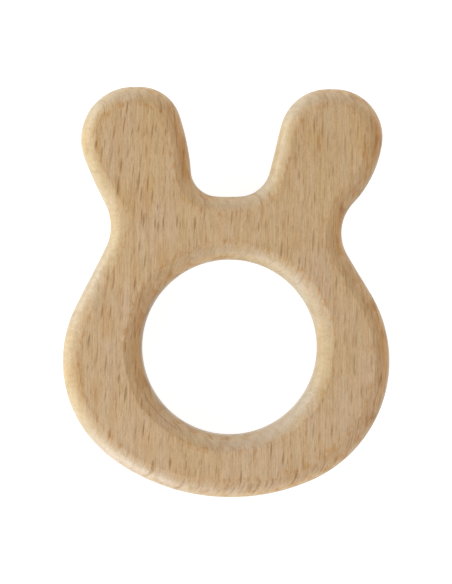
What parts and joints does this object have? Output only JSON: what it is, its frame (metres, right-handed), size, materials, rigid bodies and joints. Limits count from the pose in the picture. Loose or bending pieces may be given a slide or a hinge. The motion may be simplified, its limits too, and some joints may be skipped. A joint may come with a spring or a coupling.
{
  "type": "teething ring",
  "caption": "Flat wooden teething ring with a round grip hole and two upright ears, every edge rounded over for mouthing.",
  "frame": {"origin": "on the back face, under the middle of the outline's bounding box", "axes": "+Z is the front face's outward normal, +Y points towards the ears along the grain, +X completes a right-handed frame"},
  "size_m": [0.0714, 0.0898, 0.012],
  "materials": {
    "beech": "fine-sanded bare beech with a trace of oil, matt to satin"
  },
  "bodies": {
    "root": {"teether_body": "beech"}
  },
  "joints": []
}
